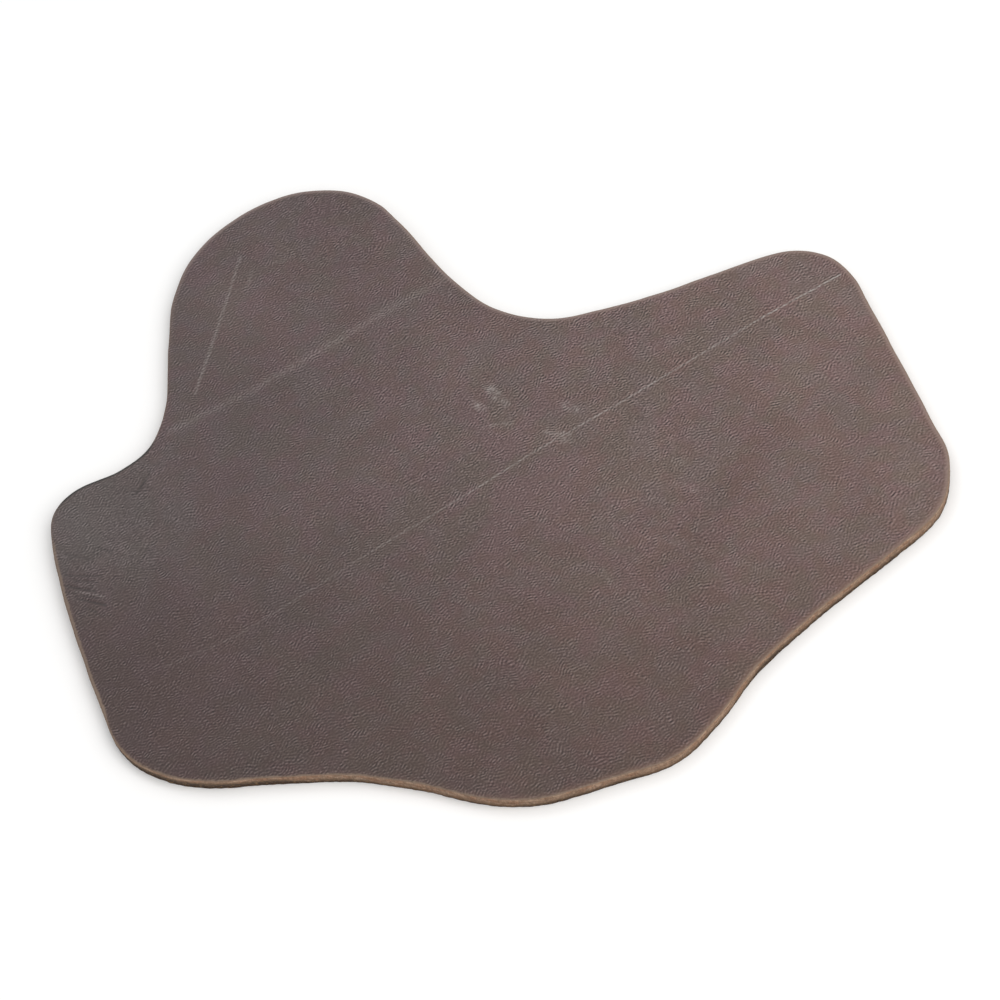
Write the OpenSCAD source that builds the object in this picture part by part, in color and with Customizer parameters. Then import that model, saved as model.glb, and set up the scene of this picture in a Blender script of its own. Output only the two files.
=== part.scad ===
// Belly pad piece: one flat, free-form cut of thick dark brown leather, lying grain side up.
// The hide is modelled as the three layers that show along its cut edge, each its own solid:
// the dyed grain on top, the tan fibre core, and the loose flesh side that it lies on.
// Millimetres, +Z up. The origin is in the middle of the outline's box, on the underside.

/* [Cut] */
// Length of the cut, from the left corner to the right corner
cut_length = 341; // [200:1:500]
// Width of the cut, from the bottom lobe to the top lobe
cut_width = 279; // [160:1:420]

/* [Hide] */
// Thickness of the dyed grain layer
grain_thickness = 1; // [0.5:0.1:2]
// Thickness of the tan fibre core
core_thickness = 2.7; // [1:0.1:5]
// Thickness of the loose flesh layer
flesh_thickness = 1.8; // [0.5:0.1:3]

/* [Smoothness] */
// Straight steps between one point of the outline and the next
span_steps = 8; // [2:1:16]

/* [Hidden] */

grain_colour = [0.38, 0.31, 0.30];
core_colour = [0.62, 0.50, 0.42];
flesh_colour = [0.34, 0.26, 0.21];

// Heights of the two seams between the layers, and of the top face.
core_base = flesh_thickness;
grain_base = core_base + core_thickness;

// The knife's path, counter-clockwise from the right corner: the points that the blade passes
// through, joined by one smooth closed curve. It is drawn at about full size, and fitted_path()
// brings it to the driving length and width.
RIGHT_CORNER = [[163.5, -22.5], [169, -13.5], [171, -2], [170, 9.5]];
RIGHT_EDGE = [[163.5, 24], [151.5, 51], [138.5, 79]];
TOP_RIGHT_CORNER = [[132.5, 91.5], [121.5, 102], [106, 104]];
TOP_EDGE = [[84, 96], [58, 84.5], [33, 76]];
TOP_BAY = [[13, 72.5], [-8, 78], [-28, 94.5], [-50, 120.5]];
TOP_LOBE = [[-63, 133], [-80, 139], [-100, 137], [-120, 125.5], [-135, 106], [-140, 84]];
LEFT_BAY = [[-138, 60], [-134.5, 33], [-137, 13], [-147, 1]];
LEFT_CORNER = [[-164, -9], [-170.5, -20], [-168, -34.5]];
LEFT_EDGE = [[-157, -63], [-135, -107]];
BOTTOM_LEFT_CORNER = [[-126, -121], [-111, -130.5], [-91, -134]];
BOTTOM_BAY = [[-63, -131.5], [-38, -130.5], [-13, -133.5]];
BOTTOM_LOBE = [[10, -138.5], [30, -138.5], [55, -130]];
LOWER_RIGHT_CORNER = [[77, -121], [90.5, -106]];
LOWER_RIGHT_BAY = [[105, -83], [126, -59.5], [150, -36.5]];

knife_path = concat(
    RIGHT_CORNER, RIGHT_EDGE, TOP_RIGHT_CORNER, TOP_EDGE, TOP_BAY, TOP_LOBE, LEFT_BAY,
    LEFT_CORNER, LEFT_EDGE, BOTTOM_LEFT_CORNER, BOTTOM_BAY, BOTTOM_LOBE,
    LOWER_RIGHT_CORNER, LOWER_RIGHT_BAY
);

// A Catmull-Rom curve: the point at fraction t of the way from b to c, with a before and d after.
function between(a, b, c, d, t) =
    0.5 * (2 * b + (c - a) * t
        + (2 * a - 5 * b + 4 * c - d) * t * t
        + (3 * b - a - 3 * c + d) * t * t * t);

// The smooth closed curve through every point of a path, in even steps between its points.
function smooth_path(path, steps) =
    let (count = len(path))
    [
        for (i = [0 : count - 1], step = [0 : steps - 1])
            between(
                path[(i + count - 1) % count],
                path[i],
                path[(i + 1) % count],
                path[(i + 2) % count],
                step / steps
            )
    ];

// A path stretched to the given length and width, with the middle of its box at the origin.
function fitted_path(path, length, width) =
    let (
        xs = [for (p = path) p[0]],
        ys = [for (p = path) p[1]],
        middle = [min(xs) + max(xs), min(ys) + max(ys)] / 2,
        stretch = [length / (max(xs) - min(xs)), width / (max(ys) - min(ys))]
    )
    [for (p = path) [(p[0] - middle[0]) * stretch[0], (p[1] - middle[1]) * stretch[1]]];

cut_outline = fitted_path(smooth_path(knife_path, span_steps), cut_length, cut_width);

// One layer of the hide: the whole cut, from base up through its thickness.
module layer(base, thickness) {
    translate([0, 0, base])
        linear_extrude(height = thickness)
            polygon(cut_outline);
}

module grain_layer() {
    color(grain_colour)
        layer(grain_base, grain_thickness);
}

module fibre_core() {
    color(core_colour)
        layer(core_base, core_thickness);
}

module flesh_layer() {
    color(flesh_colour)
        layer(0, flesh_thickness);
}

grain_layer();
fibre_core();
flesh_layer();
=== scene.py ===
"""The looks of the leather belly pad piece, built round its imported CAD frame.

One free-form cut of thick hide lies flat, grain side up. Each CAD layer is replaced by a mesh of its
own: the dyed grain, the tan fibre core and the rough flesh side. The three share one cut outline,
which is read from the frame, and one gentle lift, so they meet with no gap. Meshes are in metres;
the materials measure in millimetres.
"""

import math

import bpy
import numpy as np
from mathutils import Matrix, Vector, kdtree, noise
from mathutils.geometry import delaunay_2d_cdt


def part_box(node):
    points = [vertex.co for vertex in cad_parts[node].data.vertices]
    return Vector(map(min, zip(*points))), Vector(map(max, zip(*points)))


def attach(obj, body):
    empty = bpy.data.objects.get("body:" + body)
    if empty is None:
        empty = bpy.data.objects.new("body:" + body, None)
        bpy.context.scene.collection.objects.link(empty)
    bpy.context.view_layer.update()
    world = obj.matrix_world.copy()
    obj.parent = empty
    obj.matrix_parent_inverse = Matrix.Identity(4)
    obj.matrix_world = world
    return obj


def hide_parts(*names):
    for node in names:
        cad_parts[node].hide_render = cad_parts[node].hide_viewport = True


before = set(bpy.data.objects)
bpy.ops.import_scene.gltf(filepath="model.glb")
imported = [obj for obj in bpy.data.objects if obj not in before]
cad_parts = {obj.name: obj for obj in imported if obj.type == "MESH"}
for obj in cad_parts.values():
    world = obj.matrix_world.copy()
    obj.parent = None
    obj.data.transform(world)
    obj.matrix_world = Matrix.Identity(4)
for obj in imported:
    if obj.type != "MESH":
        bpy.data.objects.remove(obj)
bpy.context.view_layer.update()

MM = 0.001

# ---------------------------------------------------------------------------------------------
# Sizes
# ---------------------------------------------------------------------------------------------

HIDE_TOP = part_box("grain_layer")[1].z
CORE_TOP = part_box("grain_layer")[0].z
CORE_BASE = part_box("fibre_core")[0].z

LOOP_STEP = 0.8 * MM  # between the points round the cut
GRAIN_STEP = 1.05 * MM  # between the points of the grain side
CREASE_STEP = 0.45 * MM  # between the points of the grain side where it is creased
FLESH_STEP = 1.6 * MM  # between the points of the flesh side
SEAM_STEP = 6.0 * MM  # between the points of the hidden faces where two layers meet
ARRIS_RADIUS = 0.6 * MM  # the worn top edge
FOOT_RADIUS = 0.3 * MM  # the bottom edge
RIM_WIDTH = 2.7 * MM  # the even rings of points inside the top and bottom edges
WALL_REACH = 0.8 * MM  # how far in from the cut edge its unevenness is felt
WALL_STEP = 0.35 * MM  # between the rings up the fibre core
FOOT_STEP = 0.3 * MM  # between the rings up the flesh side

# Where the piece rises off the floor: centre, radius and rise.
LIFTS = [
    ((-0.165, -0.020), 0.045, 0.8 * MM),
    ((-0.095, 0.138), 0.060, 0.4 * MM),
    ((0.168, 0.000), 0.045, 0.3 * MM),
]

# Creases pressed into the grain, in millimetres: the two ends and the depth.
CREASES = [
    ((-159.8, -47.6), (-146.3, -47.6), 0.20),
    ((-156.2, -49.7), (-147.0, -50.4), 0.20),
    ((-159.3, -52.2), (-147.4, -54.4), 0.28),
    ((-152.6, -56.2), (-146.1, -57.4), 0.22),
    ((-152.4, -57.9), (-142.1, -60.4), 0.30),
    ((-150.1, -61.6), (-145.1, -63.4), 0.20),
    ((-150.2, -34.8), (-144.4, -36.6), 0.14),
    ((-161.5, -38.2), (-151.6, -40.3), 0.14),
    ((-135.2, 0.0), (-136.2, -4.0), 0.18),
    ((-136.2, -4.0), (-138.8, -9.8), 0.34),
    ((-138.8, -9.8), (-142.0, -12.2), 0.12),
]
CREASE_WIDTH = 0.6 * MM  # half the width of a crease
CREASE_REACH = 3.0 * MM  # how far the finer grid of points goes round a crease
CREASE_ENDS = 0.12  # of a half wave, cut off at each end so that a crease doesn't start from nothing
BANK_HEIGHT = 0.4  # of the banks beside a crease, as a share of its depth
BANK_PLACE = 1.7  # from the middle of a crease to the top of its bank, in crease widths
BANK_WIDTH = 0.6  # in crease widths

# The waver of the knife, in millimetres: waves round the cut, and their size.
WAVER = [(19, 0.07), (31, 0.06), (53, 0.05)]

# Swells of the two faces, in millimetres: from one to the next, their height and a seed.
GRAIN_SWELLS = [(45, 0.14, 0.0), (14, 0.04, 3.1), (3.4, 0.018, 5.7)]
FLESH_SWELLS = [(9, 0.10, 2.3), (3.2, 0.05, 8.9)]
GRAIN_FADE = 3 * MM  # how far in from the edge the grain's swells are at their full height
FLESH_FADE = 2 * MM
CREASE_FADE = 1 * MM

# The unevenness of the cut edge: the knife's waves, and raggedness that grows down the flesh.
KNIFE_WAVE = 6 * MM  # from one wave to the next
KNIFE_HEIGHT = 0.07 * MM
RAGGED_WAVE = 1.9 * MM
RAGGED_HEIGHT = 0.04  # in millimetres
MORE_RAGGED = 0.18  # how much more at the foot, in millimetres

ARRIS_ANGLES = (0, 22, 45, 68, 90)  # of the rings round a worn edge, in degrees
GRID_STRAY = 0.18  # how far a grid's points stray from its places, in steps
GRID_MARGIN = 0.6  # how far a grid's points keep from the ring outside them, in steps

SEED = 7


# ---------------------------------------------------------------------------------------------
# The cut outline
# ---------------------------------------------------------------------------------------------


def cad_outline(node):
    """The corners of a CAD layer's outline, in order and counter-clockwise."""
    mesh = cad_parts[node].data
    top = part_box(node)[1].z
    links = {}
    for face in mesh.polygons:
        places = [mesh.vertices[v].co for v in face.vertices]
        ends = sorted({(round(p.x, 6), round(p.y, 6)) for p in places if top - p.z < 0.01 * MM})
        if abs(face.normal.z) < 0.5 and len(ends) == 2:
            links.setdefault(ends[0], []).append(ends[1])
            links.setdefault(ends[1], []).append(ends[0])
    path = [min(links)]
    path.append(links[path[0]][0])
    while len(path) < len(links):
        path.append(next(p for p in links[path[-1]] if p != path[-2]))
    points = np.array(path)
    return points if enclosed_area(points) > 0 else points[::-1]


def enclosed_area(loop):
    """The area inside a closed loop, positive where it runs counter-clockwise."""
    after = np.roll(loop, -1, axis=0)
    return float((loop[:, 0] * after[:, 1] - loop[:, 1] * after[:, 0]).sum() / 2)


def even_loop(points, step, finer=6):
    """The smooth closed curve through the points, at an even spacing of about step."""
    before, after, later = (np.roll(points, -n, axis=0) for n in (-1, 1, 2))
    spans = []
    for t in np.arange(finer) / finer:
        spans.append(
            0.5 * (2 * points + (after - before) * t
                   + (2 * before - 5 * points + 4 * after - later) * t ** 2
                   + (3 * points - before - 3 * after + later) * t ** 3)
        )
    curve = np.stack(spans, axis=1).reshape(-1, 2)
    closed = np.vstack([curve, curve[:1]])
    run = np.concatenate([[0], np.cumsum(np.linalg.norm(np.diff(closed, axis=0), axis=1))])
    places = np.linspace(0, run[-1], round(run[-1] / step), endpoint=False)
    return np.stack([np.interp(places, run, closed[:, k]) for k in (0, 1)], axis=1)


def outward(loop):
    """The outward normal at each point of a counter-clockwise loop."""
    along = np.roll(loop, -1, axis=0) - np.roll(loop, 1, axis=0)
    along /= np.linalg.norm(along, axis=1)[:, None]
    return np.stack([along[:, 1], -along[:, 0]], axis=1)


def hand_cut(loop):
    """The loop with the faint waver of a knife led by hand, no more than about 0.2 mm."""
    turn = np.linspace(0, 2 * math.pi, len(loop), endpoint=False)
    waver = sum(size * np.sin(count * turn + count) for count, size in WAVER)
    return loop + outward(loop) * (waver * MM)[:, None]


# ---------------------------------------------------------------------------------------------
# Relief. Places are rows of x and y.
# ---------------------------------------------------------------------------------------------


def swirls(places, size, seed=0.0, heights=None):
    """Smooth noise from about -1 to 1 at each place, size metres from one swell to the next."""
    if heights is None:
        heights = np.zeros(len(places))
    rows = np.column_stack([places / size + (seed, -seed), heights / size])
    return np.array([noise.noise(row) for row in rows])


def lift(places):
    """How far the hide has risen off the floor at each place."""
    rise = np.zeros(len(places))
    for centre, radius, height in LIFTS:
        away = np.linalg.norm(places - centre, axis=1) / radius
        rise += height * np.exp(-away ** 2)
    return rise


def to_segment(places, start, end):
    """Each place's distance from a line, whose ends are in millimetres, and its share of the way."""
    start = np.array(start) * MM
    run = np.array(end) * MM - start
    share = np.clip((places - start) @ run / (run @ run), 0, 1)
    return np.linalg.norm(places - start - share[:, None] * run, axis=1), share


def near_crease(places):
    """Which places are close to a crease."""
    close = np.zeros(len(places), bool)
    for start, end, _ in CREASES:
        close |= to_segment(places, start, end)[0] < CREASE_REACH
    return close


def crease_depth(places):
    """How deep the creases are at each place, below zero on the banks beside them."""
    depth = np.zeros(len(places))
    for start, end, deepest in CREASES:
        away, share = to_segment(places, start, end)
        groove = np.exp(-(away / CREASE_WIDTH) ** 2)
        bank = BANK_HEIGHT * np.exp(-((away / CREASE_WIDTH - BANK_PLACE) / BANK_WIDTH) ** 2)
        taper = np.sin(math.pi * (CREASE_ENDS + (1 - 2 * CREASE_ENDS) * share))
        depth += deepest * MM * (groove - bank) * taper
    return depth


def grain_relief(places, edge_distance):
    """The small swells and creases of the grain side, fading out at the worn edge."""
    swells = sum(
        height * MM * swirls(places, size * MM, seed) for size, height, seed in GRAIN_SWELLS
    )
    creased = np.clip(edge_distance / CREASE_FADE, 0, 1) * crease_depth(places)
    return np.clip(edge_distance / GRAIN_FADE, 0, 1) * swells - creased


def flesh_relief(places, edge_distance):
    """The uneven nap of the flesh side, which only rises, so that the piece rests on its lows."""
    swells = sum(
        height * MM * (1 + swirls(places, size * MM, seed)) for size, height, seed in FLESH_SWELLS
    )
    return np.clip(edge_distance / FLESH_FADE, 0, 1) * swells


def wall_relief(places, heights):
    """How far the cut edge stands out at each place: smooth and firm above, ragged at the flesh."""
    knife = KNIFE_HEIGHT * swirls(places, KNIFE_WAVE, 0.0, 2 * heights)
    flesh = 1 - np.clip(heights / CORE_BASE, 0, 1)
    ragged = (RAGGED_HEIGHT + MORE_RAGGED * flesh) * MM
    return knife + ragged * swirls(places, RAGGED_WAVE, 4.4, 0.6 * heights)


# ---------------------------------------------------------------------------------------------
# Shape
# ---------------------------------------------------------------------------------------------


class Cut:
    """The cut's loop, and what the layers' faces need to know of it."""

    def __init__(self, points, step):
        self.loop = hand_cut(even_loop(points, step))
        self.normals = outward(self.loop)
        self.tree = kdtree.KDTree(len(self.loop))
        for i, (x, y) in enumerate(self.loop):
            self.tree.insert((x, y, 0), i)
        self.tree.balance()

    def edge_distances(self, places):
        """How far each place is from the loop."""
        return np.array([self.tree.find((x, y, 0))[2] for x, y in places])

    def ring(self, inset, height):
        """The loop moved in by inset, at a height in the flat hide, with its edge distance."""
        flat = self.loop - self.normals * inset
        rim = np.full((len(flat), 2), (height, inset))
        return np.hstack([flat, rim])

    def scattered(self, step, inset, height, seed, keep=None):
        """Points inside the loop, further in than inset, on a slightly uneven triangular grid."""
        grid = np.array(list(self.grid_places(step)))
        if keep:
            grid = grid[keep(grid)]
        stray = np.random.default_rng(seed).uniform(-GRID_STRAY, GRID_STRAY, grid.shape)
        grid += stray * step
        away = self.edge_distances(grid)
        inner = away > inset + GRID_MARGIN * step
        heights = np.full(inner.sum(), height)
        return np.column_stack([grid[inner], heights, away[inner]])

    def grid_places(self, step):
        """The places of a triangular grid that lie inside the loop, row by row."""
        after = np.roll(self.loop, -1, axis=0)
        left_end, low = self.loop.min(0)
        rows = np.arange(low, self.loop[:, 1].max(), step * math.sqrt(3) / 2)
        for index, y in enumerate(rows):
            crossing = (self.loop[:, 1] > y) != (after[:, 1] > y)
            a, b = self.loop[crossing], after[crossing]
            cuts = np.sort(a[:, 0] + (y - a[:, 1]) * (b[:, 0] - a[:, 0]) / (b[:, 1] - a[:, 1]))
            first = left_end + (index % 2) * step / 2
            for left, right in zip(cuts[::2], cuts[1::2]):
                start = first + math.ceil((left - first) / step) * step
                for x in np.arange(start, right, step):
                    yield x, y


def inside_loop(loop, places):
    """Which places lie inside a closed loop, where an odd number of its sides lies to their right."""
    inside = np.zeros(len(places), bool)
    x, y = places.T
    for a, b in zip(loop, np.roll(loop, -1, axis=0)):
        crossing = (a[1] > y) != (b[1] > y)
        side = a[0] + (y[crossing] - a[1]) * (b[0] - a[0]) / (b[1] - a[1])
        inside[crossing] ^= x[crossing] < side
    return inside


def filling(ring, inner):
    """The triangles that fill a ring of points by way of the points inside it."""
    count = len(ring)
    flat = np.vstack([ring, inner])[:, :2]
    edges = [(i, (i + 1) % count) for i in range(count)]
    corners = [Vector(p) for p in flat]
    _, _, faces, origins, _, _ = delaunay_2d_cdt(corners, edges, [], 0, 1e-9, True)
    source = np.array([origin[0] for origin in origins])
    triangles = source[np.array(faces)]
    # The triangulation also spans the bays, so its triangles outside the ring are dropped.
    spanning = np.flatnonzero((triangles < count).all(1))
    outside = ~inside_loop(flat[:count], flat[triangles[spanning]].mean(1))
    return np.delete(triangles, spanning[outside], axis=0)


def wall_faces(count, rows):
    """The quads of the cut edge, between rings of count points."""
    faces = []
    for low in range(0, count * (rows - 1), count):
        high = low + count
        for i in range(count):
            j = (i + 1) % count
            faces.append((low + i, low + j, high + j, high + i))
    return faces


def stood_out(cut, wall):
    """The wall's places in plan, moved out or in by the unevenness of the cut edge."""
    flat, heights, away = wall[:, :2], wall[:, 2], wall[:, 3]
    stand = wall_relief(flat, heights) * np.clip(1 - away / WALL_REACH, 0, 1)
    normals = np.tile(cut.normals, (len(wall) // len(cut.loop), 1))
    return flat + normals * stand[:, None]


def raised(points, first_below, first_above, relief_below, relief_above):
    """How far each point rises, with the whole hide and with the relief of the face it is on."""
    flat, heights, away = points[:, :2], points[:, 2], points[:, 3]
    rise = lift(flat)
    order = np.arange(len(points))
    if relief_above:
        upper = (order >= first_above) | ((heights > CORE_TOP) & (order < first_below))
        rise[upper] += relief_above(flat[upper], away[upper])
    if relief_below:
        lower = ((order >= first_below) & (order < first_above)) | (heights < FOOT_RADIUS)
        rise[lower] += relief_below(flat[lower], away[lower])
    return rise


def layer_piece(name, cut, rings, below, above, relief_below=None, relief_above=None):
    """A closed mesh: rings of points up the cut edge, and a filled face below and above them.

    A point holds its place in the flat hide, x, y and height, and its distance from the edge.
    """
    count = len(cut.loop)
    points = np.vstack([*rings, below, above])
    first_below = count * len(rings)
    first_above = first_below + len(below)
    top_row = first_below - count
    faces = wall_faces(count, len(rings))
    under = filling(rings[0], below)[:, ::-1]
    faces += np.where(under < count, under, under - count + first_below).tolist()
    over = filling(rings[-1], above)
    faces += np.where(over < count, over + top_row, over - count + first_above).tolist()

    rise = raised(points, first_below, first_above, relief_below, relief_above)
    places = np.column_stack([points[:, :2], points[:, 2] + rise])
    places[:first_below, :2] = stood_out(cut, points[:first_below])
    mesh = bpy.data.meshes.new(name)
    mesh.from_pydata(places.tolist(), [], faces)
    mesh.shade_smooth()
    for label, column in (("hide_height", 2), ("edge_distance", 3)):
        attribute = mesh.attributes.new(label, "FLOAT", "POINT")
        attribute.data.foreach_set("value", (points[:, column] / MM).astype(np.float32))
    sharpen_seams(mesh, count, len(rings), not relief_below, not relief_above)
    piece = bpy.data.objects.new(name, mesh)
    bpy.context.scene.collection.objects.link(piece)
    return piece


def sharpen_seams(mesh, count, rows, below, above):
    """Marks the edges round the hidden faces sharp, so that they don't bend the wall's shading."""
    sharp = np.zeros(len(mesh.edges), bool)
    ends = np.zeros(len(mesh.edges) * 2, int)
    mesh.edges.foreach_get("vertices", ends)
    ends = ends.reshape(-1, 2)
    if below:
        sharp |= (ends < count).all(1)
    if above:
        top = (ends >= count * (rows - 1)) & (ends < count * rows)
        sharp |= top.all(1)
    mesh.attributes.new("sharp_edge", "BOOLEAN", "EDGE").data.foreach_set("value", sharp)


def arris_rings(cut, radius, height, turn):
    """Rings round a worn edge: turn is 1 for the top edge, going in, and -1 for the bottom edge."""
    angles = np.radians(ARRIS_ANGLES)
    if turn < 0:
        angles = angles[::-1]
    return [
        cut.ring(radius * (1 - math.cos(a)), height - turn * radius * (1 - math.sin(a)))
        for a in angles
    ]


def wall_rings(cut, low, high, step):
    """Rings up the cut edge between two heights, both of them left out."""
    count = round((high - low) / step)
    return [cut.ring(0, low + (high - low) * k / count) for k in range(1, count)]


def build_layers():
    """The three layers as meshes, from the flesh side up."""
    cut = Cut(cad_outline("grain_layer"), LOOP_STEP)
    rim = [ARRIS_RADIUS + RIM_WIDTH * k / 3 for k in (1, 2, 3)]
    seam_low = cut.scattered(SEAM_STEP, 0, CORE_BASE, SEED)
    seam_high = cut.scattered(SEAM_STEP, 0, CORE_TOP, SEED)
    smooth = cut.scattered(GRAIN_STEP, rim[-1], HIDE_TOP, SEED + 1, lambda grid: ~near_crease(grid))
    creased = cut.scattered(CREASE_STEP, rim[-1], HIDE_TOP, SEED + 3, near_crease)
    flesh_side = cut.scattered(FLESH_STEP, rim[-1], 0, SEED + 2)

    flesh = layer_piece(
        "flesh_side",
        cut,
        [cut.ring(inset, 0) for inset in reversed(rim)]
        + arris_rings(cut, FOOT_RADIUS, 0, -1)
        + wall_rings(cut, FOOT_RADIUS, CORE_BASE, FOOT_STEP)
        + [cut.ring(0, CORE_BASE)],
        flesh_side,
        seam_low,
        relief_below=flesh_relief,
    )
    core = layer_piece(
        "fibre_core_edge",
        cut,
        [cut.ring(0, CORE_BASE)]
        + wall_rings(cut, CORE_BASE, CORE_TOP, WALL_STEP)
        + [cut.ring(0, CORE_TOP)],
        seam_low,
        seam_high,
    )
    grain = layer_piece(
        "grain_side",
        cut,
        [cut.ring(0, CORE_TOP)]
        + arris_rings(cut, ARRIS_RADIUS, HIDE_TOP, 1)
        + [cut.ring(inset, HIDE_TOP) for inset in rim],
        seam_high,
        np.vstack([smooth, creased]),
        relief_above=grain_relief,
    )
    return flesh, core, grain


# ---------------------------------------------------------------------------------------------
# Materials, in millimetres
# ---------------------------------------------------------------------------------------------

GABOR_ANGLE = 4  # the Gabor texture's socket for a direction in the plane


class Nodes:
    """A material's node tree, with short calls for the nodes that the materials share."""

    def __init__(self, name):
        self.material = bpy.data.materials.new(name)
        self.material.use_nodes = True
        self.tree = self.material.node_tree
        self.shader = self.tree.nodes["Principled BSDF"]
        place = self.add("TexCoord").outputs["Object"]
        self.place = self.vector("SCALE", place, scale=1 / MM)
        self.plan = self.vector("MULTIPLY", self.place, (1, 1, 0))

    def add(self, kind, inputs=(), **settings):
        """A new node, with its settings and its inputs."""
        node = self.tree.nodes.new("ShaderNode" + kind)
        for name, value in settings.items():
            setattr(node, name, value)
        self.fill(node, inputs)
        return node

    def fill(self, node, inputs):
        """Sets each of a node's inputs to a value, or links it to another node's output."""
        for name, value in dict(inputs).items():
            if isinstance(value, bpy.types.NodeSocket):
                self.tree.links.new(value, node.inputs[name])
            else:
                node.inputs[name].default_value = value

    def attribute(self, name):
        """What the mesh holds for each point, in millimetres."""
        return self.add("Attribute", attribute_name=name).outputs["Fac"]

    def math(self, operation, a, b=0.0, c=0.0, clamp=False):
        return self.add("Math", {0: a, 1: b, 2: c}, operation=operation, use_clamp=clamp).outputs[0]

    def vector(self, operation, a, b=(0, 0, 0), scale=1.0):
        node = self.add("VectorMath", {0: a, 1: b, 3: scale}, operation=operation)
        single = operation in ("DOT_PRODUCT", "LENGTH", "DISTANCE")
        return node.outputs["Value" if single else "Vector"]

    def step(self, value, start, end, low=0.0, high=1.0):
        """A smooth step from low, where value is at start, to high, where it is at end."""
        inputs = {0: value, 1: start, 2: end, 3: low, 4: high}
        return self.add("MapRange", inputs, interpolation_type="SMOOTHSTEP").outputs[0]

    def noise(self, size, detail=2.0, stretch=(1, 1, 1), roughness=0.5, distortion=0.0):
        """Noise from 0 to 1, about size millimetres between its patches, longer by stretch."""
        scale = [1 / (size * s) for s in stretch]
        inputs = {
            "Vector": self.vector("MULTIPLY", self.place, scale),
            "Scale": 1.0,
            "Detail": detail,
            "Roughness": roughness,
            "Distortion": distortion,
        }
        return self.add("TexNoise", inputs).outputs["Fac"]

    def patches(self, size, detail=2.0):
        """Soft patches of 0 and 1, about size millimetres from one to the next."""
        return self.step(self.noise(size, detail), 0.38, 0.62)

    def along(self, direction, start, end, low=0.0, high=1.0):
        """A smooth step across the whole piece, from start to end in a direction."""
        ahead = self.vector("DOT_PRODUCT", self.plan, (*direction, 0))
        return self.step(ahead, start, end, low, high)

    def spot(self, centre, radius):
        """1 at a centre, fading to 0 at a radius."""
        away = self.vector("DISTANCE", self.plan, (*centre, 0))
        return self.step(away, 0, radius, 1, 0)

    def stroke(self, start, end, width, strength):
        """strength along a straight line between two ends, fading to 0 at width beside it."""
        run = Vector((*end, 0)) - Vector((*start, 0))
        offset = self.vector("SUBTRACT", self.plan, (*start, 0))
        share = self.vector("DOT_PRODUCT", offset, run / run.length_squared)
        share = self.math("MULTIPLY", share, 1.0, clamp=True)
        nearest = self.vector("SCALE", run, scale=share)
        return self.step(self.vector("DISTANCE", offset, nearest), 0, width, strength, 0)

    def strokes(self, lines):
        """The strongest of several strokes."""
        most = 0.0
        for line in lines:
            most = self.math("MAXIMUM", most, self.stroke(*line))
        return most

    def mix(self, factor, a, b, blend="MIX"):
        """a turned into b by factor. Inputs 6 and 7 and output 2 are the node's colours."""
        inputs = {0: factor, 6: a, 7: b}
        return self.add("Mix", inputs, data_type="RGBA", blend_type=blend).outputs[2]

    def tinted(self, look, tint):
        """A colour multiplied by a tint."""
        return self.mix(1.0, look, tint, "MULTIPLY")

    def bump(self, height):
        """A bumped normal from a height in millimetres."""
        return self.add("Bump", {"Height": height, "Distance": MM}).outputs["Normal"]

    def finish(self, colour, roughness, normal, specular):
        """The finished material."""
        self.fill(self.shader, {"Base Color": colour, "Roughness": roughness, "Normal": normal})
        self.shader.inputs["Specular IOR Level"].default_value = specular
        return self.material


def colour(red, green, blue):
    return (red, green, blue, 1.0)


WHITE = colour(1, 1, 1)

# The raw cut and the flesh side.
TAN = colour(0.203, 0.128, 0.083)
PALE_TAN = colour(0.300, 0.204, 0.143)
RUST_TAN = colour(0.203, 0.110, 0.066)
# Dark fibre, which also paints the shade at the foot of the cut.
DARK_FIBRE_AND_SHADE = colour(0.050, 0.031, 0.021)
BROWN_FIBRE = colour(0.115, 0.073, 0.048)
OCHRE = colour(0.24, 0.145, 0.070)
SUEDE = colour(0.105, 0.066, 0.043)
PALE_SUEDE = colour(0.19, 0.130, 0.088)

# The dyed grain at its two ends, darker on the left and lighter on the right partly as painted light
# and shade, and the tints that these are multiplied by.
SHADED_LEFT_BROWN = colour(0.0725, 0.0473, 0.0459)
LIT_RIGHT_BROWN = colour(0.1355, 0.0887, 0.0777)
PAINTED_LOWER_SHADE = colour(0.645, 0.563, 0.522)
OLIVE = colour(0.975, 1.02, 1.0)
RUDDY = colour(1.05, 0.955, 0.985)
DRAB = colour(1.0, 1.0, 0.955)
BLUISH = colour(1.0, 1.0, 1.05)
# Painted shade of a broad gentle swell, for the dark streak across the grain.
SWELL_SHADE = colour(0.88, 0.84, 0.82)

# Painted sheen, highlights and shade on the grain, with its wear and dirt.
LEFT_CORNER_SHEEN = colour(0.0825, 0.0700, 0.0665)
# A painted highlight for the ridges' tops.
RIDGE_TOP_HIGHLIGHT = colour(0.30, 0.29, 0.285)
# Pale wear, and a painted highlight on a crease's bank.
PALE_WEAR_AND_HIGHLIGHT = colour(0.34, 0.31, 0.29)
# Painted shade and dirt in the creases.
CREASE_SHADE_AND_DIRT = colour(0.030, 0.024, 0.023)
BLUSH = colour(0.165, 0.095, 0.068)
# A painted highlight for the rounded back rim.
RIM_HIGHLIGHT = colour(0.300, 0.225, 0.205)
WORN_RIM = colour(0.188, 0.134, 0.098)
DARK_RIM = colour(0.020, 0.017, 0.016)

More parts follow.
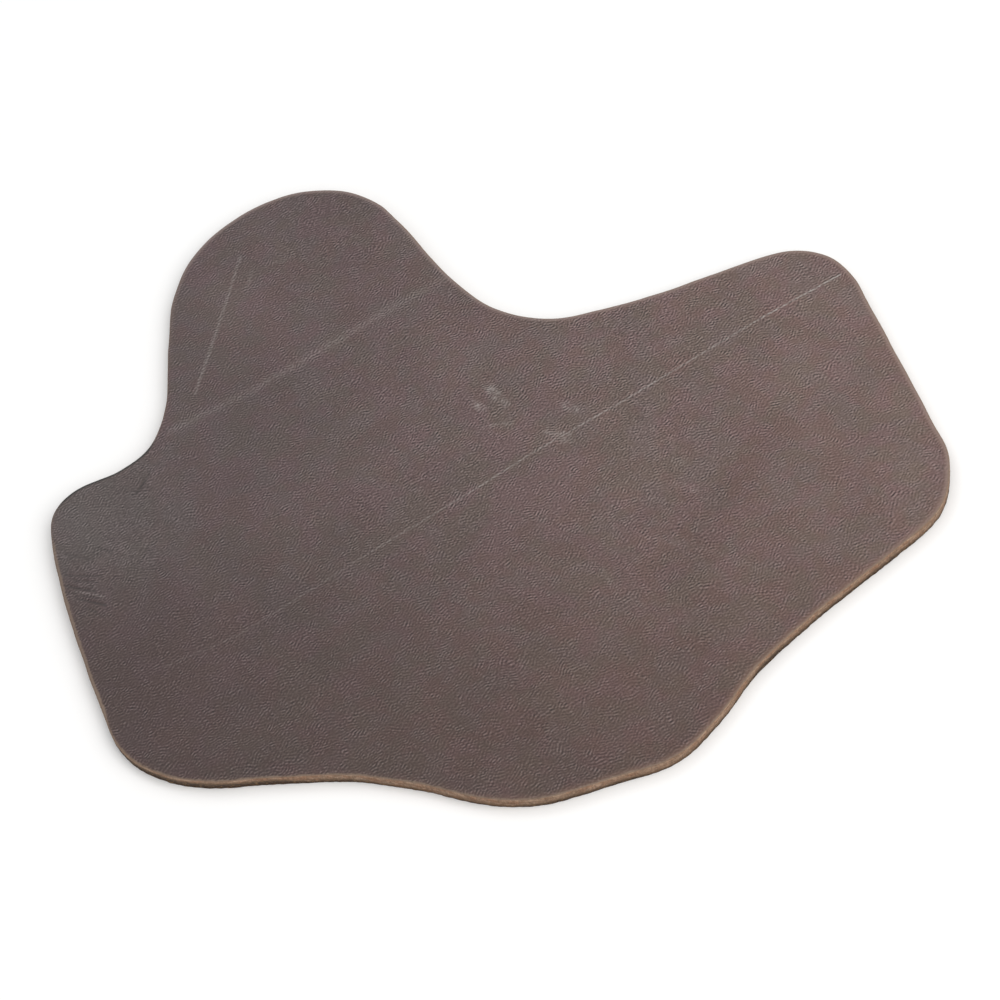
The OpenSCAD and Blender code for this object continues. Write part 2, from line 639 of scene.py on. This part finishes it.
# The grain's ridges. Sizes are in millimetres.
RIDGE_SPACING = 1.2
RIDGE_CELL = 3.0  # the size of one patch of parallel ridges
RIDGE_DIRECTION = math.radians(41)
RIDGE_ORDER = 0.55  # from 0, ridges every way, to 1, all in their direction
RIDGE_GAIN = 10.0  # brings the ridges to about 1 above and below 0
RIDGE_SKEW = 0.06  # how much narrower the tops are than the valleys
RIDGE_HEIGHT = 0.034
SWAY = 3.0  # how far the ridges' lines wander
SWAY_SIZE = 14.0  # from one wander to the next
PORE_SIZE = 0.8
PORE_DEPTH = 7.5  # how strongly the pores break up the ridges
CLUSTER_SIZE = 4.5  # from one strong group of ridges to the next
STRONG_GRAIN = ((22, 68), 185)  # where the grain is strongest: centre and radius
LEAST_GRAIN = 0.53  # how strong the grain is beyond that
MORE_GRAIN = 0.28  # how much stronger it is at the centre

# Painted light and shade on the ridges: the lightness between them, the painted highlight gained up a
# ridge, and the darkest painted shade in a valley.
MEAN_SHADE = 0.95
RIDGE_PAINTED_LIGHT = 0.34
VALLEY_PAINTED_SHADE = 0.22
TOP_SHEEN = 0.20  # of the sheen colour on the highest ridges

# The dye's uneven colour. Sizes are in millimetres, from one patch to the next.
TINT_SIZE = 11
CAST_SIZE = 9
CLOUD_SIZE = 18
RUDDY_CORNER = ((-116, -90), 56)  # centre and radius
# The left corner's painted sheen: centre and radius, and how strong it is.
SHEEN_CORNER = ((-152, -22), 54)
SHEEN_STRENGTH = 0.6

# The raw cut. Sizes and heights are in millimetres.
LEVEL_SIZE = 1.4
LEVEL_RISE = 0.12
KNIFE_SIZE = 0.8
KNIFE_RISE = 0.22
RUST_SIZE = 5
# The dark fibre at the foot of the cut is painted shade as well.
DARK_TOP = (1.2, 2.4)  # the heights between which dark fibre turns brown
FLESH_TOP = (2.2, 3.4)  # the heights between which brown fibre turns tan
RAGGED_SIZE = 1.1
RAGGED_REACH = 3.2  # how far these heights jump up and down along the cut
SLOW_SIZE = 24
SLOW_REACH = 2.4  # how far they rise and fall slowly
FLECK_SIZE = 0.8

# The underside's suede, in millimetres.
NAP_SIZE = 0.8
NAP_RISE = 0.35
BRUSH_SIZE = 5

# Wear, a painted highlight and a dark line along the rim: the distances from the edge between which
# each fades out, in millimetres.
BLUSH_FADE = (0.3, 3.0)
RIM_HIGHLIGHT_FADE = (0.7, 2.2)
WORN_FADE = (-0.4, 0.4)  # to either side of the worn rim's ragged line
DARK_EDGE_FADE = (0.7, 1.7)
ARRIS_FADE = (0.0, 0.22)  # of the bare fibre, where the raw cut begins

# Where the rim is worn or painted with a highlight: a direction, two places along it and the strength
# at each.
BLUSH_SIDE = ((1, -0.2), -20, 140, 0.1, 0.6)
HIGHLIT_BACK = ((0.35, 0.94), 0, 80, 0, 0.42)
WORN_SIDE = ((0.94, -0.34), -150, -80, 0.30, 1.0)

# Breaks in what is rubbed or soiled, in millimetres, from one to the next.
SMUDGE_SIZE = 2.6
BREAK_SIZE = 1.8
CREASE_BREAK_SIZE = 1.5
WORN_SIZE = 1.6
WORN_WANDER = 1.1  # how far in and out the worn rim's ragged line wanders

# Strokes along the rim and across the grain: two ends, half width and strength.
# The dark streak is painted shade of a broad gentle swell.
SHADED_SWELL_STREAK = ((104, 23), (80, -30), 16, 0.8)
TAN_EDGE = ((-168, -38), (-136, -104), 11, 0.75)
# A darker line along the left edge of the grain.
DARK_LEFT_EDGE = ((-167, -12), (-138, 9), 9, 1.0)

# The dark lines in the creases are painted shade and dirt.
CREASE_LINE_WIDTH = 0.85  # half the width of the dirt in a crease, in millimetres
CREASE_LINE_STRENGTH = 2.5  # of the dirt, for each millimetre of a crease's depth

# Pale marks rubbed into the grain, and a painted highlight on a crease's bank, in millimetres: two
# ends, half width and strength.
MARKS = [
    ((127, 92), (97.5, 71.5), 0.66, 0.95),
    ((97.5, 71.5), (46, 32), 0.66, 0.65),
    ((46, 32), (13.7, 8.4), 0.66, 0.60),
    ((13.7, 8.4), (-8.8, -9.8), 0.66, 0.55),
    ((-8.8, -9.8), (-25.2, -22.4), 0.70, 0.42),
    ((-25.2, -22.4), (-43, -36), 0.75, 0.30),
    ((-43, -36), (-74.5, -61.5), 0.80, 0.16),
    ((-74.5, -61.5), (-89, -73), 0.90, 0.13),
    ((-89, -73), (-115, -87), 1.10, 0.08),
    ((-29, 93), (-48.5, 79), 3.2, 0.13),
    ((-48.5, 79), (-100.5, 38.5), 3.4, 0.18),
    ((-100.5, 38.5), (-130, 19.5), 3.3, 0.15),
    ((-115, 105.5), (-118, 77.5), 1.1, 0.30),
    ((-118, 77.5), (-123, 37.5), 1.3, 0.34),
    ((-109, 97.5), (-110, 89), 1.4, 0.15),
    ((-101, 102), (-96.5, 102.5), 1.4, 0.14),
    ((62, -29), (84, -35), 2.6, 0.08),
    ((84, -35), (114, -48), 2.8, 0.07),
    ((44.5, -44), (51, -53), 2.4, 0.10),
    # A painted highlight on the bank beside a crease.
    ((-155, -54.6), (-143.8, -56.6), 0.8, 0.20),
]

# Scuffs, given as marks are, where the grain is rubbed pale in a smudge.
SCUFFS = [
    ((-7, 40), (1.5, 31), 2.8, 0.40),
    ((-5.5, 38.5), (-2.6, 35.4), 3.2, 0.90),
    ((-11, 32), (-7.5, 29), 2.6, 0.55),
    ((24.5, 31), (29, 28), 3.0, 0.45),
    ((18.5, 18.5), (27, 17.5), 2.4, 0.50),
    ((21.5, 15.5), (27, 14.5), 3.4, 0.40),
    ((-7, 20.8), (4, 22.6), 1.8, 0.28),
    ((73.5, -6), (76.5, -9), 3.2, 0.20),
    ((69, 5), (71.5, 3.2), 3.0, 0.18),
]

# Stretches of the cut where the dark fibre and painted shadow reach higher up it: two ends, half
# width and height. Those at the lower right are painted shadow under the edge.
DEEP_FLESH_AND_SHADOW = [
    ((-130, -118), (-72, -135), 26, 2.5),
    ((-60, -133), (-40, -133), 20, 0.6),
    ((107, -81), (110, -78), 15, 2.0),
    ((118, -68), (150, -36), 18, 1.0),
    ((42, -136), (56, -131), 16, 0.7),
]

# Lighter and darker patches: centre, radius and how much lighter.
PATCHES = [
    # The first patch is a painted sheen on the upper left lobe.
    ((-115, 84), 48, 0.17),
    ((-15, 57), 34, 0.05),
    ((48, -76), 42, 0.08),
    ((122, 78), 40, 0.06),
    ((-80, 33), 46, -0.07),
    ((-55, -57), 46, -0.06),
    ((-110, 5), 40, -0.04),
    ((-124, -78), 40, -0.05),
    ((-148, -26), 30, -0.05),
]


def tan_fibre(n):
    """The tan of the raw cut, mottled and streaked up it by the knife, and painted darker towards its
    foot as shade: colour and height.
    """
    level = n.noise(LEVEL_SIZE, 3, stretch=(3, 3, 0.7), roughness=0.6, distortion=0.6)
    streaks = n.noise(KNIFE_SIZE, 3, stretch=(1, 1, 2.4), roughness=0.7, distortion=0.5)
    tan = n.mix(n.patches(RUST_SIZE, 3), TAN, RUST_TAN)
    tan = n.mix(n.step(level, 0.42, 0.70), tan, PALE_TAN)
    # Painted shade: the tan is darker towards the foot of the cut and lighter towards its top.
    painted_shade_towards_foot = n.step(n.attribute("hide_height"), 1.2, 5.0, 0.86, 1.12)
    shade = n.math("MULTIPLY", n.step(streaks, 0.30, 0.70, 0.68, 1.24), painted_shade_towards_foot)
    rise = n.math("MULTIPLY_ADD", streaks, KNIFE_RISE, n.math("MULTIPLY", level, LEVEL_RISE))
    return n.vector("SCALE", tan, scale=shade), rise


def flesh_line(n):
    """The height up the cut, made ragged, by which it turns from dark fibre and painted shade to tan.
    """
    ragged = n.noise(RAGGED_SIZE, 3, stretch=(1.6, 1.6, 1), roughness=0.7)
    line = n.math("MULTIPLY_ADD", ragged, RAGGED_REACH, -RAGGED_REACH / 2)
    line = n.math("ADD", line, n.attribute("hide_height"))
    line = n.math("MULTIPLY_ADD", n.noise(SLOW_SIZE), SLOW_REACH, line)
    return n.math("SUBTRACT", line, n.strokes(DEEP_FLESH_AND_SHADOW))


def cut_edge_look(n):
    """Colour and height of the raw cut: tan above, and darker, flecked fibre below, near black at the
    foot with painted shade.
    """
    tan, rise = tan_fibre(n)
    line = flesh_line(n)
    # Painted shade: the foot of the cut is near black, partly its dark fibre and partly shade painted
    # where the edge meets the floor.
    fibre = n.mix(n.step(line, *DARK_TOP), DARK_FIBRE_AND_SHADE, BROWN_FIBRE)
    flecks = n.noise(FLECK_SIZE, 3, stretch=(1.6, 1.6, 1), roughness=0.65)
    fibre = n.mix(n.step(flecks, 0.50, 0.76), fibre, OCHRE)
    return n.mix(n.step(line, *FLESH_TOP), fibre, tan), rise


def ridges(n):
    """The grain's short parallel ridges, in clusters: below 0 in a valley, and 1 to 3 on a top."""
    wander = {"Vector": n.plan, "Scale": 1 / SWAY_SIZE, "Detail": 1.0}
    sway = n.add("TexNoise", wander).outputs["Color"]
    gabor = {
        "Vector": n.vector("ADD", n.plan, n.vector("SCALE", sway, scale=SWAY)),
        "Scale": 1 / RIDGE_CELL,
        "Frequency": RIDGE_CELL / RIDGE_SPACING,
        "Anisotropy": RIDGE_ORDER,
        GABOR_ANGLE: RIDGE_DIRECTION - math.pi / 2,
    }
    waves = n.add("TexGabor", gabor, gabor_type="2D").outputs["Value"]
    waves = n.math("MULTIPLY_ADD", waves, RIDGE_GAIN, -RIDGE_GAIN / 2)
    pores = n.math("MULTIPLY_ADD", n.noise(PORE_SIZE), PORE_DEPTH, -PORE_DEPTH / 2)
    clusters = n.step(n.noise(CLUSTER_SIZE), 0.32, 0.66, 0.58, 1.22)
    strength = n.math("MULTIPLY_ADD", n.spot(*STRONG_GRAIN), MORE_GRAIN, LEAST_GRAIN)
    ridge = n.math("MULTIPLY", n.math("ADD", waves, pores), clusters)
    return n.math("MULTIPLY", ridge, strength)


def skewed(n, ridge):
    """The ridges with narrow bright tops and broad dark valleys."""
    return n.math("MULTIPLY_ADD", n.math("MULTIPLY", ridge, ridge), RIDGE_SKEW, ridge)


def pale_marks(n, ridge):
    """How much the grain is rubbed pale, with a painted highlight on a crease's bank: scratches and
    scuffs, mostly on the ridges' tops.
    """
    smudges = n.step(n.noise(SMUDGE_SIZE), 0.36, 0.60, 0.25, 1.0)
    scuffed = n.math("MULTIPLY", n.strokes(SCUFFS), smudges)
    breaks = n.step(n.noise(BREAK_SIZE), 0.36, 0.58, 0.42, 1.0)
    tops = n.step(ridge, -0.6, 0.8, 0.35, 1.0)
    pale = n.math("MAXIMUM", n.strokes(MARKS), scuffed)
    return n.math("MULTIPLY", pale, n.math("MULTIPLY", breaks, tops))


def crease_lines(n):
    """How dark the lines along the creases are: painted shade in the creases, with their dirt."""
    lines = [(start, end, CREASE_LINE_WIDTH, CREASE_LINE_STRENGTH * depth) for start, end, depth in CREASES]
    breaks = n.step(n.noise(CREASE_BREAK_SIZE), 0.30, 0.60, 0.55, 1.0)
    return n.math("MULTIPLY", n.strokes(lines), breaks)


def brown(n):
    """The dyed grain's colour before wear: cooler on the left, warmer and lighter on the right,
    darker towards the front, partly as painted light and shade.
    """
    # Painted light and shade: the brown is lighter on the right and darker on the left and towards
    # the front, partly as light falling from the right.
    look = n.mix(n.along((1, 0), -170, 170), SHADED_LEFT_BROWN, LIT_RIGHT_BROWN)
    look = n.tinted(look, n.mix(n.along((0, 1), -140, 30), PAINTED_LOWER_SHADE, WHITE))
    tint = n.mix(n.patches(TINT_SIZE), OLIVE, RUDDY)
    look = n.tinted(look, n.mix(n.spot(*RUDDY_CORNER), tint, RUDDY))
    look = n.tinted(look, n.mix(n.patches(CAST_SIZE, 1), DRAB, BLUISH))
    # Painted shade: a broad dark streak where a gentle swell turns from the light.
    look = n.mix(n.stroke(*SHADED_SWELL_STREAK), look, n.tinted(look, SWELL_SHADE))
    # Painted reflection: a cool grey sheen on the left corner.
    look = n.mix(n.math("MULTIPLY", n.spot(*SHEEN_CORNER), SHEEN_STRENGTH), look, LEFT_CORNER_SHEEN)
    cloud = n.step(n.noise(CLOUD_SIZE, 4), 0.3, 0.7, 0.93, 1.07)
    for centre, radius, lighter in PATCHES:
        cloud = n.math("MULTIPLY_ADD", n.spot(centre, radius), lighter, cloud)
    return n.vector("SCALE", look, scale=cloud)


def rubbed_and_highlit_rim(n, look, edge):
    """The grain's colour with a warm blush of wear along the rim, and a paler painted highlight at
    the back, where the rounded edge catches the light.
    """
    rubbed = n.along(*BLUSH_SIDE)
    blush = n.math("MULTIPLY", n.step(edge, *BLUSH_FADE, 1, 0), rubbed)
    look = n.mix(blush, look, BLUSH)
    # Painted highlight: the back rim, rounded over, is painted paler as if catching the light.
    back = n.along(*HIGHLIT_BACK)
    highlit = n.math("MULTIPLY", n.step(edge, *RIM_HIGHLIGHT_FADE, 1, 0), back)
    return n.mix(highlit, look, RIM_HIGHLIGHT)


def worn_rim(n, look, edge):
    """The grain's colour with its dye worn through to tan at the very edge, or darkened along the
    left edge.
    """
    tan_edge = n.stroke(*TAN_EDGE)
    ragged = n.math("MULTIPLY_ADD", n.noise(WORN_SIZE), -WORN_WANDER, edge)
    worn = n.step(n.math("SUBTRACT", ragged, tan_edge), *WORN_FADE, 0.9, 0)
    share = n.math("MAXIMUM", n.along(*WORN_SIDE), tan_edge)
    look = n.mix(n.math("MULTIPLY", worn, share), look, WORN_RIM)
    # A darker line along the left edge of the grain.
    darkened = n.math("MULTIPLY", n.step(edge, *DARK_EDGE_FADE, 1, 0), n.stroke(*DARK_LEFT_EDGE))
    look = n.mix(darkened, look, DARK_RIM)
    return n.mix(n.step(edge, *ARRIS_FADE, 1, 0), look, tan_fibre(n)[0])


def grain_material():
    """The dyed, ridged grain with its marks, creases and worn rim, and its painted light and shade.
    """
    n = Nodes("dark_brown_grain")
    edge = n.attribute("edge_distance")
    ridge = skewed(n, ridges(n))
    # Painted highlight and shade: the ridges' tops are painted lighter and their valleys darker, and
    # the highest tops take a grey painted sheen.
    shade = n.math("MULTIPLY_ADD", ridge, RIDGE_PAINTED_LIGHT, MEAN_SHADE)
    look = n.vector("SCALE", brown(n), scale=n.math("MAXIMUM", shade, VALLEY_PAINTED_SHADE))
    look = n.mix(n.step(ridge, -0.6, 2.6, 0, TOP_SHEEN), look, RIDGE_TOP_HIGHLIGHT)
    look = n.mix(pale_marks(n, ridge), look, PALE_WEAR_AND_HIGHLIGHT)
    # Painted shade and dirt: dark lines along the creases.
    look = n.mix(crease_lines(n), look, CREASE_SHADE_AND_DIRT)
    look = worn_rim(n, rubbed_and_highlit_rim(n, look, edge), edge)
    roughness = n.step(edge, 0.1, 0.8, 0.8, 0.52)
    rise = n.math("MULTIPLY", ridge, RIDGE_HEIGHT)
    return n.finish(look, roughness, n.bump(rise), specular=0.4)


def edge_material():
    """The raw cut through the fibre core."""
    n = Nodes("raw_cut_edge")
    look, rise = cut_edge_look(n)
    return n.finish(look, 0.85, n.bump(rise), specular=0.25)


def flesh_material():
    """The raw cut at the foot of the wall, near black there with painted shade, and napped suede on
    the underside.
    """
    n = Nodes("rough_flesh_side")
    raw, raw_rise = cut_edge_look(n)
    nap = n.noise(NAP_SIZE, 4, roughness=0.7, distortion=0.6)
    brushed = n.noise(BRUSH_SIZE, 3, stretch=(3, 1, 1), distortion=0.8)
    suede = n.mix(n.step(brushed, 0.4, 0.7), SUEDE, PALE_SUEDE)
    suede = n.mix(n.step(nap, 0.35, 0.6, 0.6, 0.0), suede, DARK_FIBRE_AND_SHADE)
    under = n.step(n.attribute("edge_distance"), 0.05, 0.5)
    rise = n.math("MULTIPLY_ADD", nap, NAP_RISE, raw_rise)
    return n.finish(n.mix(under, raw, suede), 0.95, n.bump(rise), specular=0.15)


# ---------------------------------------------------------------------------------------------
# Studio
# ---------------------------------------------------------------------------------------------

CAMERA_AZIMUTH = math.radians(18.1)
CAMERA_ELEVATION = math.radians(55)
CAMERA_ROLL = math.radians(15)
CAMERA_DISTANCE = 1.1
CAMERA_TARGET = Vector((0.0024, -0.0092, 0))
CAMERA_LENS = 104.8  # in millimetres
SKY_STRENGTH = 0.76
FLOOR_REACH = 12.0


def make_camera():
    """The photograph's view: from above, over the long side, with the camera tilted a little."""
    flat = Vector((math.sin(CAMERA_AZIMUTH), -math.cos(CAMERA_AZIMUTH), 0))
    back = flat * math.cos(CAMERA_ELEVATION) + Vector((0, 0, math.sin(CAMERA_ELEVATION)))
    level = Vector((math.cos(CAMERA_AZIMUTH), math.sin(CAMERA_AZIMUTH), 0))
    upright = back.cross(level)
    right = math.cos(CAMERA_ROLL) * level - math.sin(CAMERA_ROLL) * upright
    up = math.sin(CAMERA_ROLL) * level + math.cos(CAMERA_ROLL) * upright
    data = bpy.data.cameras.new("camera")
    data.lens = CAMERA_LENS
    camera = bpy.data.objects.new("camera", data)
    turn = Matrix((right, up, back)).transposed().to_4x4()
    camera.matrix_world = Matrix.Translation(CAMERA_TARGET + back * CAMERA_DISTANCE) @ turn
    bpy.context.scene.collection.objects.link(camera)
    bpy.context.scene.camera = camera


def soft_light(name, place, size, power, tint):
    """A square soft box that faces the middle of the piece."""
    data = bpy.data.lights.new(name, "AREA")
    data.size = size
    data.energy = power
    data.color = tint
    light = bpy.data.objects.new(name, data)
    light.location = place
    light.rotation_mode = "QUATERNION"
    light.rotation_quaternion = Vector(place).to_track_quat("Z", "Y")
    light.visible_camera = False
    bpy.context.scene.collection.objects.link(light)


def make_floor():
    """A plain pale floor that runs out of every view."""
    mesh = bpy.data.meshes.new("floor")
    sides = [(-1, -1, 0), (1, -1, 0), (1, 1, 0), (-1, 1, 0)]
    mesh.from_pydata([Vector(side) * FLOOR_REACH for side in sides], [], [(0, 1, 2, 3)])
    floor = bpy.data.objects.new("floor", mesh)
    bpy.context.scene.collection.objects.link(floor)
    n = Nodes("pale_floor")
    n.fill(n.shader, {"Base Color": colour(0.9, 0.9, 0.9), "Roughness": 0.9})
    n.shader.inputs["Specular IOR Level"].default_value = 0.1
    mesh.materials.append(n.material)


def make_studio():
    """The floor, an even white sky and two soft lights."""
    scene = bpy.context.scene
    scene.view_settings.view_transform = "Standard"
    world = bpy.data.worlds.new("studio")
    world.use_nodes = True
    background = world.node_tree.nodes["Background"]
    background.inputs["Color"].default_value = colour(1, 1, 1)
    background.inputs["Strength"].default_value = SKY_STRENGTH
    scene.world = world
    make_floor()
    soft_light("key", (0.85, -0.35, 1.1), size=1.3, power=12, tint=(1.0, 0.98, 0.95))
    soft_light("fill", (-0.57, 0.63, 1.0), size=0.6, power=2, tint=(0.93, 0.97, 1.0))


# ---------------------------------------------------------------------------------------------
# The object
# ---------------------------------------------------------------------------------------------


def dress(piece, node, material):
    """Gives a piece its material, and puts it in the place of its CAD layer."""
    piece.data.materials.append(material)
    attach(piece, "root")
    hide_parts(node)


make_camera()
make_studio()
flesh, core, grain = build_layers()
dress(flesh, "flesh_layer", flesh_material())
dress(core, "fibre_core", edge_material())
dress(grain, "grain_layer", grain_material())

outline = cad_outline("grain_layer")
